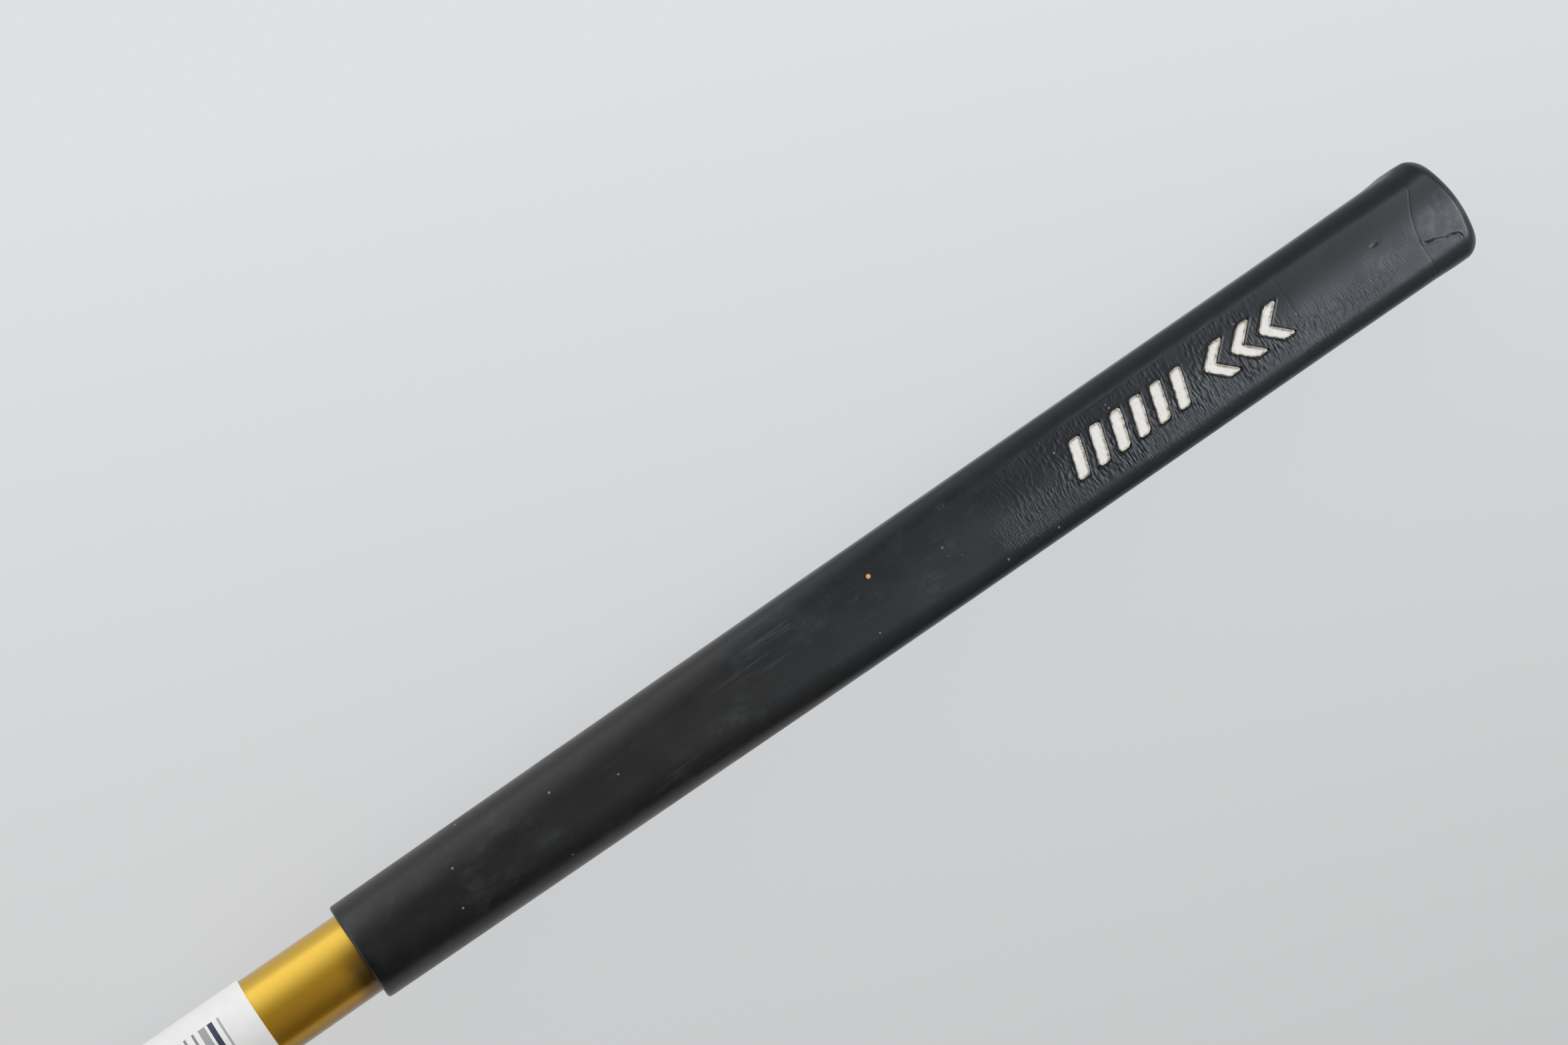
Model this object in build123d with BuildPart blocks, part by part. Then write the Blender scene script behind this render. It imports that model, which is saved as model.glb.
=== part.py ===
from build123d import *
import os

# Swing trainer stick: a flat-faced rubber grip on an anodised tube. A hammer is held by
# magnets in a tempo collar, flies along the tube in the swing and clicks on a strike ring
# that a rubber buffer backs.
#
# The stick lies on a floor along X, butt end at +X, with the flat face of the grip up (+Z).
# The origin is the centre of its footprint. Stations run along the stick from the butt
# end (0) to the tip. All sizes are in millimetres.

# ---------------------------------------------------------------- driving dimensions
TUBE_OD = 16.0
TUBE_WALL = 1.5
FIT_GAP = 0.02           # radial, between pieces that are fixed together
RUN_GAP = 0.06           # radial, between a sliding piece and the tube
REST_GAP = 0.3           # along the stick, between pieces that part in use

GRIP_LENGTH = 262.0
GRIP_WALL = 1.46         # rubber at the mouth
CAP_LENGTH = 14.0
CAP_END_WALL = 5.0
CAP_FLARE = 3.85         # width of the cap over the width of the mouth
DOME_RADIUS = 30.0
DOME_DROP = 3.0          # the dome's centre lies below the axis
CAP_EDGE_RADIUS = 2.0
MOUTH_EDGE_RADIUS = 0.6
VENT_D = 3.0
TAPE_THICKNESS = 0.2
TAPE_SETBACK = 4.0       # the tape stops short of the mouth
# Along the sleeve, from the cap (0) to the mouth (1): width over the mouth's width, width
# of the flat, and how far the back drops from the mouth's radius (0) to the floor (1).
SLEEVE_FORM = [
    (0.00, 3.25, 14.2, 0.86),
    (0.10, 2.95, 14.7, 0.98),
    (0.27, 2.55, 14.7, 0.96),
    (0.52, 1.9, 12.6, 0.58),
    (0.76, 1.05, 5.4, 0.22),
    (1.00, 0.0, 0.6, 0.00),
]

MARK_HEIGHT = 7.4
MARK_RECESS = 0.5
PAINT_THICKNESS = 0.4
CHEVRON_START = 48.0
CHEVRON_COUNT = 3
CHEVRON_PITCH = 6.9
CHEVRON_ARM = 2.9        # along the stick
CHEVRON_POINT = 4.2
BAR_START = 72.4
BAR_COUNT = 6
BAR_PITCH = 5.0
BAR_WIDTH = 2.6
BAR_SLANT = 2.4

PLUG_FLANGE = 1.5
PLUG_DEPTH = 14.0
PLUG_WALL = 1.6

LABEL_GAP = 20.0
LABEL_LENGTH = 36.0
LABEL_THICKNESS = 0.3

COLLAR_SHIFT = 30.0      # how far the tempo collar can be set towards the grip
COLLAR_MARGIN = 4.0
COLLAR_LENGTH = 36.0
SCREW_SETBACK = 14.0     # from the collar's grip end to the thumb screw
BOSS_D = 16.0
BOSS_DROP = 1.2          # flat under the knob, below the collar's top
FLUTE_COUNT = 18
FLUTE_RADIUS = 1.1
FLUTE_LENGTH = 20.0
MAGNET_D = 5.0
MAGNET_LENGTH = 6.0
MAGNET_COUNT = 6
STUD_D = 5.0
STUD_GAP = 0.06
PAD_THICKNESS = 1.5
KNOB_D = 15.0
KNOB_HEIGHT = 10.0
KNOB_LOBES = 8
KNOB_SCALLOP_RADIUS = 2.2

HAMMER_WALL = 7.0        # round the tube
HAMMER_LENGTH = 65.0
HAMMER_TRAVEL = 110.0
KEEPER_THICKNESS = 3.0
KEEPER_STEP = 1.0        # the keeper's rim lies inside the hammer's rim
KEEPER_SCREW_COUNT = 3
KEEPER_SCREW_D = 2.5
KEEPER_SCREW_HEAD_D = 4.6
KEEPER_SCREW_LENGTH = 9.0
KEEPER_SCREW_GAP = 0.05
BUSH_WALL = 2.0
BUSH_LENGTH = 15.0
BORE_RELIEF = 0.6        # radial, between the bushes
FACE_RING_WALL = 4.0
FACE_RING_LENGTH = 6.0
FACE_RING_PROUD = 3.0
ORING_SECTION = 2.6
ORING_PROUD = 0.5
ORING_SPACING = 24.0
EDGE_CHAMFER = 1.0

STRIKE_LENGTH = 8.0
BUFFER_LENGTH = 12.0
BUFFER_WALL = 5.5
BUFFER_WAIST = 1.8
BUFFER_GAP = 0.4
WASHER_THICKNESS = 1.5

FLOOR_GAP = 1.0          # under the hammer when the stick lies on its end block
HEX_LENGTH = 26.0
SOCKET_DEPTH = 34.0
SPIGOT_WALL = 4.0
END_WALL = 6.0
SET_SCREW_D = 5.0
SET_SCREW_SETBACK = 13.0
SET_SCREW_ANGLES = (60, -60)
SET_SCREW_SUNK = 0.6
SOCKET_KEY = 2.5         # across the flats of a set screw's socket
SOCKET_KEY_DEPTH = 2.4
TIP_WEIGHT_LENGTH = 46.0
TIP_SCREW_D = 6.0
TIP_SCREW_GRIP = 16.0    # length of the screw inside the tip weight
TIP_HEAD_D = 10.0
TIP_HEAD_HEIGHT = 6.0
TIP_KEY = 5.0
TIP_KEY_DEPTH = 3.2
BOOT_HEAD_GAP = 0.6
BOOT_END_WALL = 7.0
BOOT_EDGE_RADIUS = 2.5
TREAD_COUNT = 3
TREAD_WIDTH = 1.0
TREAD_DEPTH = 1.0

# ---------------------------------------------------------------- derived sizes
tube_r = TUBE_OD / 2
tube_bore_r = tube_r - TUBE_WALL
sliding_r = tube_r + RUN_GAP
fixed_r = tube_r + FIT_GAP
grip_bore_r = fixed_r + TAPE_THICKNESS + FIT_GAP
mouth_r = grip_bore_r + GRIP_WALL
hammer_r = tube_r + HAMMER_WALL
axis_height = hammer_r + FLOOR_GAP
screw_r = STUD_D / 2 + STUD_GAP

sleeve_length = GRIP_LENGTH - CAP_LENGTH
label_start = GRIP_LENGTH + LABEL_GAP
collar_start = label_start + LABEL_LENGTH + COLLAR_SHIFT + COLLAR_MARGIN
collar_end = collar_start + COLLAR_LENGTH
hammer_start = collar_end + REST_GAP
hammer_end = hammer_start + HAMMER_LENGTH
strike_start = hammer_end + HAMMER_TRAVEL + REST_GAP
strike_end = strike_start + STRIKE_LENGTH
buffer_start = strike_end + REST_GAP
washer_start = buffer_start + BUFFER_LENGTH
block_start = washer_start + WASHER_THICKNESS
hex_end = block_start + HEX_LENGTH
tube_end = block_start + SOCKET_DEPTH
block_end = tube_end + END_WALL
boot_inside_end = block_end + TIP_HEAD_HEIGHT + BOOT_HEAD_GAP
overall_length = boot_inside_end + BOOT_END_WALL
tube_start = CAP_END_WALL + PLUG_FLANGE
tape_end = GRIP_LENGTH - TAPE_SETBACK

body_start = hammer_start + KEEPER_THICKNESS
body_end = hammer_end - FACE_RING_PROUD
face_ring_start = hammer_end - FACE_RING_LENGTH
butt_x = overall_length / 2
stick_axis = Axis((0, 0, axis_height), (1, 0, 0))


def across(station):
    """Plane across the stick: its Z runs to the tip, its Y runs up."""
    return Plane(origin=(butt_x - station, 0, axis_height), x_dir=(0, -1, 0), z_dir=(-1, 0, 0))


def up_from(station, height):
    """Level plane over the stick's axis, at a height above it: its X runs to the butt."""
    return Plane.XY.offset(axis_height + height).move(Location((butt_x - station, 0, 0)))


def spoke(station, angle, radius):
    """Plane square to a radius of the stick, its Z outwards, angle from the top."""
    face = Plane(origin=(butt_x - station, 0, axis_height), x_dir=(1, 0, 0), z_dir=(0, 0, 1))
    return face.rotated((angle, 0, 0)).offset(radius)


def round_bar(station, length, outer_r, inner_r=0.0):
    """Round bar from a station towards the tip, or a tube if inner_r is given."""
    with BuildPart() as bar:
        with BuildSketch(across(station)):
            Circle(outer_r)
            if inner_r:
                Circle(inner_r, mode=Mode.SUBTRACT)
        extrude(amount=length)
    return bar.part


def outer_rims(builder):
    """The circular edges of the largest radius in a part."""
    return builder.edges().filter_by(GeomType.CIRCLE).group_by(SortBy.RADIUS)[-1]


def grip_section(station, extra_width, flat, drop):
    """Slice of the grip: flat top, round shoulders and a back that bulges to the floor."""
    half = mouth_r + extra_width / 2
    shoulder = half - flat / 2
    back = mouth_r + drop * (axis_height - mouth_r)
    side_top = mouth_r - shoulder
    with BuildSketch(across(station)) as section:
        with BuildLine():
            Line((-half, 0), (-half, side_top))
            CenterArc((-flat / 2, side_top), shoulder, 180, -90)
            Line((-flat / 2, mouth_r), (flat / 2, mouth_r))
            CenterArc((flat / 2, side_top), shoulder, 90, -90)
            Line((half, side_top), (half, 0))
            EllipticalCenterArc((0, 0), half, back, start_angle=180, arc_size=180)
        make_face()
    return section.sketch


def mark_outlines():
    """Generic marks along the flat, in X from the butt end: chevrons, then slanted bars."""
    half = MARK_HEIGHT / 2
    with BuildSketch() as marks:
        for n in range(CHEVRON_COUNT):
            tail = -(CHEVRON_START + n * CHEVRON_PITCH)
            Polygon(
                (tail, half), (tail - CHEVRON_ARM, half), (tail - CHEVRON_ARM - CHEVRON_POINT, 0),
                (tail - CHEVRON_ARM, -half), (tail, -half), (tail - CHEVRON_POINT, 0), align=None,
            )
        for n in range(BAR_COUNT):
            tail = -(BAR_START + n * BAR_PITCH)
            Polygon(
                (tail, half), (tail - BAR_WIDTH, half), (tail - BAR_WIDTH - BAR_SLANT, -half),
                (tail - BAR_SLANT, -half), align=None,
            )
    return marks.sketch


# ---------------------------------------------------------------- grip
with BuildPart() as grip_sleeve:
    loft([grip_section(CAP_LENGTH + share * sleeve_length, *form) for share, *form in SLEEVE_FORM])
    mouth_rim = grip_sleeve.faces().sort_by(Axis.X)[0].outer_wire().edges()
    fillet(mouth_rim, MOUTH_EDGE_RADIUS)
    add(round_bar(CAP_LENGTH, sleeve_length, grip_bore_r), mode=Mode.SUBTRACT)
    with BuildSketch(up_from(0, mouth_r)):
        add(mark_outlines())
    extrude(amount=-MARK_RECESS, mode=Mode.SUBTRACT)

with BuildPart() as grip_cap:
    joint_form = SLEEVE_FORM[0][1:]
    flared_form = (CAP_FLARE, joint_form[1], joint_form[2])
    loft([
        grip_section(CAP_LENGTH, *joint_form),
        grip_section(CAP_LENGTH / 2, *flared_form),
        grip_section(0, *flared_form),
    ])
    with Locations((butt_x - DOME_RADIUS, 0, axis_height - DOME_DROP)):
        Sphere(DOME_RADIUS, mode=Mode.INTERSECT)
    fillet(grip_cap.edges().group_by(Axis.X)[-1], CAP_EDGE_RADIUS)
    add(round_bar(CAP_END_WALL, CAP_LENGTH - CAP_END_WALL, grip_bore_r), mode=Mode.SUBTRACT)
    add(round_bar(0, CAP_END_WALL, VENT_D / 2), mode=Mode.SUBTRACT)

with BuildPart() as grip_marks:
    with BuildSketch(up_from(0, mouth_r - MARK_RECESS)):
        add(mark_outlines())
    extrude(amount=PAINT_THICKNESS)

with BuildPart() as grip_tape:
    add(round_bar(tube_start, tape_end - tube_start, fixed_r + TAPE_THICKNESS, fixed_r))

# ---------------------------------------------------------------- tube
with BuildPart() as main_tube:
    add(round_bar(tube_start, tube_end - tube_start, tube_r, tube_bore_r))

with BuildPart() as butt_plug:
    add(round_bar(CAP_END_WALL, PLUG_FLANGE, tube_r))
    add(round_bar(tube_start, PLUG_DEPTH, tube_bore_r - FIT_GAP))
    add(round_bar(tube_start, PLUG_DEPTH, tube_bore_r - FIT_GAP - PLUG_WALL), mode=Mode.SUBTRACT)

with BuildPart() as price_label:
    add(round_bar(label_start, LABEL_LENGTH, fixed_r + LABEL_THICKNESS, fixed_r))

# ---------------------------------------------------------------- tempo collar
screw_station = collar_start + SCREW_SETBACK
boss_height = hammer_r - BOSS_DROP
magnet_circle_r = (sliding_r + hammer_r) / 2
with BuildPart() as tempo_collar:
    add(round_bar(collar_start, COLLAR_LENGTH, hammer_r, sliding_r))
    chamfer(outer_rims(tempo_collar), EDGE_CHAMFER)
    with BuildSketch(across(collar_start + SCREW_SETBACK + BOSS_D / 2)):
        with PolarLocations(hammer_r, FLUTE_COUNT, start_angle=90 + 180 / FLUTE_COUNT):
            Circle(FLUTE_RADIUS)
    extrude(amount=FLUTE_LENGTH - BOSS_D / 2, mode=Mode.SUBTRACT)
    with BuildSketch(up_from(screw_station, boss_height)):
        Circle(BOSS_D / 2)
    extrude(amount=HAMMER_WALL, mode=Mode.SUBTRACT)
    with BuildSketch(up_from(screw_station, 0)):
        Circle(screw_r)
    extrude(amount=hammer_r, mode=Mode.SUBTRACT)
    with BuildSketch(across(collar_end)):
        with PolarLocations(magnet_circle_r, MAGNET_COUNT):
            Circle(MAGNET_D / 2 + FIT_GAP)
    extrude(amount=-MAGNET_LENGTH, mode=Mode.SUBTRACT)

with BuildPart() as collar_magnets:
    with BuildSketch(across(collar_end)):
        with PolarLocations(magnet_circle_r, MAGNET_COUNT):
            Circle(MAGNET_D / 2)
    extrude(amount=-MAGNET_LENGTH)

with BuildPart() as pressure_pad:
    with BuildSketch(up_from(screw_station, sliding_r)):
        Circle(STUD_D / 2)
    extrude(amount=PAD_THICKNESS)

stud_bottom = sliding_r + PAD_THICKNESS + FIT_GAP
knob_bottom = boss_height + REST_GAP
with BuildPart() as thumb_stud:
    with BuildSketch(up_from(screw_station, stud_bottom)):
        Circle(STUD_D / 2)
    extrude(amount=knob_bottom + KNOB_HEIGHT / 2 - stud_bottom)

with BuildPart() as thumb_knob:
    with BuildSketch(up_from(screw_station, knob_bottom)):
        Circle(KNOB_D / 2)
        with PolarLocations(KNOB_D / 2 + KNOB_SCALLOP_RADIUS / 2, KNOB_LOBES):
            Circle(KNOB_SCALLOP_RADIUS, mode=Mode.SUBTRACT)
    extrude(amount=KNOB_HEIGHT)
    fillet(thumb_knob.faces().sort_by(Axis.Z)[-1].edges(), EDGE_CHAMFER)
    with BuildSketch(up_from(screw_station, knob_bottom)):
        Circle(STUD_D / 2 + FIT_GAP)
    extrude(amount=KNOB_HEIGHT / 2, mode=Mode.SUBTRACT)

# ---------------------------------------------------------------- hammer
keeper_r = hammer_r - KEEPER_STEP
bush_r = sliding_r + BUSH_WALL
keeper_screw_circle_r = (bush_r + keeper_r) / 2
oring_circle_r = hammer_r + ORING_PROUD - ORING_SECTION / 2
hammer_middle = (body_start + body_end) / 2
oring_stations = (hammer_middle - ORING_SPACING / 2, hammer_middle + ORING_SPACING / 2)
with BuildPart() as hammer_body:
    add(round_bar(body_start, body_end - body_start, hammer_r, sliding_r + BORE_RELIEF))
    chamfer(outer_rims(hammer_body), EDGE_CHAMFER)
    for start, depth in ((body_start, BUSH_LENGTH), (face_ring_start, -BUSH_LENGTH)):
        add(round_bar(start, depth, bush_r + FIT_GAP), mode=Mode.SUBTRACT)
    add(
        round_bar(body_end, FACE_RING_PROUD - FACE_RING_LENGTH, sliding_r + FACE_RING_WALL + FIT_GAP),
        mode=Mode.SUBTRACT,
    )
    with BuildSketch(across(body_start)):
        with PolarLocations(keeper_screw_circle_r, KEEPER_SCREW_COUNT, start_angle=30):
            Circle(KEEPER_SCREW_D / 2 + KEEPER_SCREW_GAP)
    extrude(amount=KEEPER_SCREW_LENGTH - KEEPER_THICKNESS, mode=Mode.SUBTRACT)
    for station in oring_stations:
        with BuildSketch(Plane.XZ):
            with Locations((butt_x - station, axis_height + oring_circle_r)):
                Circle(ORING_SECTION / 2 + FIT_GAP)
        revolve(axis=stick_axis, mode=Mode.SUBTRACT)

with BuildPart() as hammer_keeper:
    add(round_bar(hammer_start, KEEPER_THICKNESS, keeper_r, sliding_r + BORE_RELIEF))
    chamfer(outer_rims(hammer_keeper).sort_by(Axis.X)[-1], EDGE_CHAMFER / 2)
    with Locations(across(hammer_start)):
        with PolarLocations(keeper_screw_circle_r, KEEPER_SCREW_COUNT, start_angle=30):
            Cone(
                KEEPER_SCREW_HEAD_D / 2 + FIT_GAP, KEEPER_SCREW_D / 2 + KEEPER_SCREW_GAP,
                KEEPER_THICKNESS, align=(Align.CENTER, Align.CENTER, Align.MIN), mode=Mode.SUBTRACT,
            )

with BuildPart() as keeper_screws:
    with Locations(across(hammer_start)):
        with PolarLocations(keeper_screw_circle_r, KEEPER_SCREW_COUNT, start_angle=30):
            Cone(
                KEEPER_SCREW_HEAD_D / 2, KEEPER_SCREW_D / 2, KEEPER_THICKNESS,
                align=(Align.CENTER, Align.CENTER, Align.MIN),
            )
            Cylinder(
                KEEPER_SCREW_D / 2, KEEPER_SCREW_LENGTH - KEEPER_SCREW_GAP,
                align=(Align.CENTER, Align.CENTER, Align.MIN),
            )

with BuildPart() as hammer_bush_upper:
    add(round_bar(body_start, BUSH_LENGTH, bush_r, sliding_r))

with BuildPart() as hammer_bush_lower:
    add(round_bar(face_ring_start, -BUSH_LENGTH, bush_r, sliding_r))

with BuildPart() as hammer_face_ring:
    add(round_bar(face_ring_start, FACE_RING_LENGTH, sliding_r + FACE_RING_WALL, sliding_r + BORE_RELIEF))
    chamfer(outer_rims(hammer_face_ring).sort_by(Axis.X)[0], EDGE_CHAMFER / 2)

with BuildPart() as hammer_o_rings:
    for station in oring_stations:
        with BuildSketch(Plane.XZ):
            with Locations((butt_x - station, axis_height + oring_circle_r)):
                Circle(ORING_SECTION / 2)
        revolve(axis=stick_axis)

# ---------------------------------------------------------------- strike end
with BuildPart() as strike_ring:
    add(round_bar(strike_start, STRIKE_LENGTH, hammer_r, sliding_r))
    chamfer(outer_rims(strike_ring), EDGE_CHAMFER)

buffer_r = tube_r + BUFFER_WALL
with BuildPart() as strike_buffer:
    add(round_bar(buffer_start, BUFFER_LENGTH, buffer_r, tube_r + BUFFER_GAP))
    with BuildSketch(Plane.XZ):
        with Locations((butt_x - buffer_start - BUFFER_LENGTH / 2, axis_height + buffer_r)):
            Ellipse(BUFFER_LENGTH / 4, BUFFER_WAIST)
    revolve(axis=stick_axis, mode=Mode.SUBTRACT)

with BuildPart() as buffer_washer:
    add(round_bar(washer_start, WASHER_THICKNESS, buffer_r, sliding_r))

spigot_r = tube_r + SPIGOT_WALL
set_screw_station = block_start + SET_SCREW_SETBACK
with BuildPart() as end_block:
    with BuildSketch(across(block_start)):
        RegularPolygon(axis_height, 6, major_radius=False)
    extrude(amount=HEX_LENGTH)
    chamfer(end_block.faces().filter_by(Axis.X).edges(), EDGE_CHAMFER)
    add(round_bar(hex_end, block_end - hex_end, spigot_r))
    add(round_bar(block_start, SOCKET_DEPTH, fixed_r), mode=Mode.SUBTRACT)
    add(round_bar(tube_end, END_WALL, TIP_SCREW_D / 2 + STUD_GAP), mode=Mode.SUBTRACT)
    for angle in SET_SCREW_ANGLES:
        with BuildSketch(spoke(set_screw_station, angle, 0)):
            Circle(SET_SCREW_D / 2 + FIT_GAP)
        extrude(amount=axis_height, mode=Mode.SUBTRACT)

with BuildPart() as set_screws:
    set_screw_top = axis_height - SET_SCREW_SUNK
    for angle in SET_SCREW_ANGLES:
        with BuildSketch(spoke(set_screw_station, angle, fixed_r)):
            Circle(SET_SCREW_D / 2)
        extrude(amount=set_screw_top - fixed_r)
        with BuildSketch(spoke(set_screw_station, angle, set_screw_top)):
            RegularPolygon(SOCKET_KEY / 2, 6, major_radius=False)
        extrude(amount=-SOCKET_KEY_DEPTH, mode=Mode.SUBTRACT)

with BuildPart() as tip_weight:
    add(round_bar(tube_end, -TIP_WEIGHT_LENGTH, tube_bore_r - FIT_GAP))
    add(round_bar(tube_end, -TIP_SCREW_GRIP - STUD_GAP, TIP_SCREW_D / 2 + FIT_GAP), mode=Mode.SUBTRACT)

with BuildPart() as tip_screw:
    add(round_bar(block_end, TIP_HEAD_HEIGHT, TIP_HEAD_D / 2))
    chamfer(tip_screw.edges().sort_by(Axis.X)[0], EDGE_CHAMFER / 2)
    add(round_bar(block_end, -END_WALL - TIP_SCREW_GRIP, TIP_SCREW_D / 2))
    with BuildSketch(across(block_end + TIP_HEAD_HEIGHT)):
        RegularPolygon(TIP_KEY / 2, 6, major_radius=False)
    extrude(amount=-TIP_KEY_DEPTH, mode=Mode.SUBTRACT)

boot_r = axis_height - REST_GAP
with BuildPart() as tip_boot:
    add(round_bar(hex_end, overall_length - hex_end, boot_r))
    fillet(tip_boot.edges().sort_by(Axis.X)[0], BOOT_EDGE_RADIUS)
    chamfer(outer_rims(tip_boot).sort_by(Axis.X)[-1], EDGE_CHAMFER / 2)
    add(round_bar(hex_end, block_end - hex_end, spigot_r + FIT_GAP), mode=Mode.SUBTRACT)
    add(
        round_bar(block_end, boot_inside_end - block_end, TIP_HEAD_D / 2 + BOOT_HEAD_GAP),
        mode=Mode.SUBTRACT,
    )
    for n in range(TREAD_COUNT):
        tread_r = spigot_r * (n + 1) / (TREAD_COUNT + 1)
        add(
            round_bar(overall_length, -TREAD_DEPTH, tread_r + TREAD_WIDTH / 2, tread_r - TREAD_WIDTH / 2),
            mode=Mode.SUBTRACT,
        )

# ---------------------------------------------------------------- export
pieces = {
    "grip_sleeve": grip_sleeve,
    "grip_cap": grip_cap,
    "grip_marks": grip_marks,
    "grip_tape": grip_tape,
    "main_tube": main_tube,
    "butt_plug": butt_plug,
    "price_label": price_label,
    "tempo_collar": tempo_collar,
    "collar_magnets": collar_magnets,
    "pressure_pad": pressure_pad,
    "thumb_stud": thumb_stud,
    "thumb_knob": thumb_knob,
    "hammer_body": hammer_body,
    "hammer_keeper": hammer_keeper,
    "keeper_screws": keeper_screws,
    "hammer_bush_upper": hammer_bush_upper,
    "hammer_bush_lower": hammer_bush_lower,
    "hammer_face_ring": hammer_face_ring,
    "hammer_o_rings": hammer_o_rings,
    "strike_ring": strike_ring,
    "strike_buffer": strike_buffer,
    "buffer_washer": buffer_washer,
    "end_block": end_block,
    "set_screws": set_screws,
    "tip_weight": tip_weight,
    "tip_screw": tip_screw,
    "tip_boot": tip_boot,
}
os.makedirs("parts", exist_ok=True)
for name, piece in pieces.items():
    piece.part.label = name
    export_step(piece.part, f"parts/{name}.step")
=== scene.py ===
from math import cos, pi, radians, sin

import bmesh
import bpy
import numpy as np
from mathutils import Matrix, Vector
from mathutils.geometry import delaunay_2d_cdt


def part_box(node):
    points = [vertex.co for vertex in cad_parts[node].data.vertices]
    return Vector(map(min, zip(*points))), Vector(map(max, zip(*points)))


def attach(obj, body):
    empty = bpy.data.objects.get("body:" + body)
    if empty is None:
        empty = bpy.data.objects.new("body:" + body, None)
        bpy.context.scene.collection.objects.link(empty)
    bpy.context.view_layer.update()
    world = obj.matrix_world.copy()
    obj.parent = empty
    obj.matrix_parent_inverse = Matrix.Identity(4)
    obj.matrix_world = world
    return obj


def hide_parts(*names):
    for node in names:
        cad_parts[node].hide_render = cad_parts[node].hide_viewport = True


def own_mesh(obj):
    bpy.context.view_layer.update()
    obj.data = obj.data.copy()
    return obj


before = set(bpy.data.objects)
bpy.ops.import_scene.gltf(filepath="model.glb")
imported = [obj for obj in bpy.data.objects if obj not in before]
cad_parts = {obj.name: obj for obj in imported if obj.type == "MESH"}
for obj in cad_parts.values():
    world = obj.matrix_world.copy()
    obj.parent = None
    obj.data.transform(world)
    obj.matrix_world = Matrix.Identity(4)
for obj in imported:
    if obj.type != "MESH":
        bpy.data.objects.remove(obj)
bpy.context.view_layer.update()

# The looks of the swing trainer stick. Sizes are in millimetres, and stations run along
# the stick from the butt end, as in the CAD source. MM turns them into scene units.
MM = 0.001
WELD = 1e-7              # in scene units


# ---------------------------------------------------------------- places from the frame
def corners(node):
    """Lowest and highest corner of a CAD node, in millimetres."""
    low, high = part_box(node)
    return low / MM, high / MM


BUTT_X = corners("grip_cap")[1].x
AXIS_Z = (corners("main_tube")[0].z + corners("main_tube")[1].z) / 2
TUBE_R = corners("main_tube")[1].y
MOUTH_R = corners("grip_sleeve")[1].z - AXIS_Z
CAP_LENGTH = BUTT_X - corners("grip_sleeve")[1].x
GRIP_LENGTH = BUTT_X - corners("grip_sleeve")[0].x
LABEL_START = BUTT_X - corners("price_label")[1].x
LABEL_END = BUTT_X - corners("price_label")[0].x

# ---------------------------------------------------------------- camera
LENS = 55.70             # on a 36 mm sensor
CAMERA_TILT = radians(13.4)
CAMERA_ROLL = radians(34.02)
CAMERA_HEIGHT = 447.5    # over the stick's axis
CAMERA_ASIDE = 21.3      # towards +Y
CAMERA_FROM_MOUTH = 2.65   # towards the butt


def make_camera():
    """Looks down on the grip, tilted towards the butt and rolled."""
    looking = Vector((sin(CAMERA_TILT), 0, -cos(CAMERA_TILT)))
    along = Vector((cos(CAMERA_TILT), 0, sin(CAMERA_TILT)))
    across = Vector((0, 1, 0))
    right = cos(CAMERA_ROLL) * along - sin(CAMERA_ROLL) * across
    up = sin(CAMERA_ROLL) * along + cos(CAMERA_ROLL) * across
    data = bpy.data.cameras.new("camera")
    data.lens = LENS
    data.sensor_width = 36.0
    camera = bpy.data.objects.new("camera", data)
    turn = Matrix((right, up, -looking)).transposed()
    mouth_x = BUTT_X - GRIP_LENGTH
    place = Vector((mouth_x + CAMERA_FROM_MOUTH, CAMERA_ASIDE, AXIS_Z + CAMERA_HEIGHT)) * MM
    camera.matrix_world = Matrix.Translation(place) @ turn.to_4x4()
    bpy.context.scene.collection.objects.link(camera)
    bpy.context.scene.camera = camera


# ---------------------------------------------------------------- mesh helpers
def add_piece(name, points, faces, body, slot, material, replaced=(), sharp=40, values=None):
    """A mesh piece from points in millimetres, shaded smooth up to the sharp angle.

    values maps the name of a point attribute to its numbers, for the material to read.
    """
    mesh = bpy.data.meshes.new(name)
    mesh.from_pydata((np.asarray(points, float) * MM).tolist(), [], faces)
    for key, numbers in (values or {}).items():
        mesh.attributes.new(key, "FLOAT", "POINT").data.foreach_set("value", numbers)
    shape = bmesh.new()
    shape.from_mesh(mesh)
    bmesh.ops.remove_doubles(shape, verts=shape.verts, dist=WELD)
    bmesh.ops.recalc_face_normals(shape, faces=shape.faces)
    shape.to_mesh(mesh)
    shape.free()
    mesh.shade_smooth()
    mesh.set_sharp_from_angle(angle=radians(sharp))
    piece = bpy.data.objects.new(name, mesh)
    bpy.context.scene.collection.objects.link(piece)
    piece.data.materials.append(material)
    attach(piece, body)
    if replaced:
        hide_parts(*replaced)
    return piece


def grid_faces(rows, columns, closed_rows=False, closed_columns=False, start=0):
    """Quads over a grid of points stored row by row."""
    faces = []
    for r in range(rows if closed_rows else rows - 1):
        for c in range(columns if closed_columns else columns - 1):
            a, b = r, (r + 1) % rows
            d, e = c, (c + 1) % columns
            faces.append([start + a * columns + d, start + a * columns + e,
                          start + b * columns + e, start + b * columns + d])
    return faces


def lathe(profile, segments=128):
    """Points and faces of a closed profile of (station, radius) turned about the stick's axis."""
    angles = np.linspace(0, 2 * pi, segments, endpoint=False)
    points = [(BUTT_X - station, radius * sin(a), AXIS_Z + radius * cos(a))
              for station, radius in profile for a in angles]
    return points, grid_faces(len(profile), segments, closed_rows=True, closed_columns=True)


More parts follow.
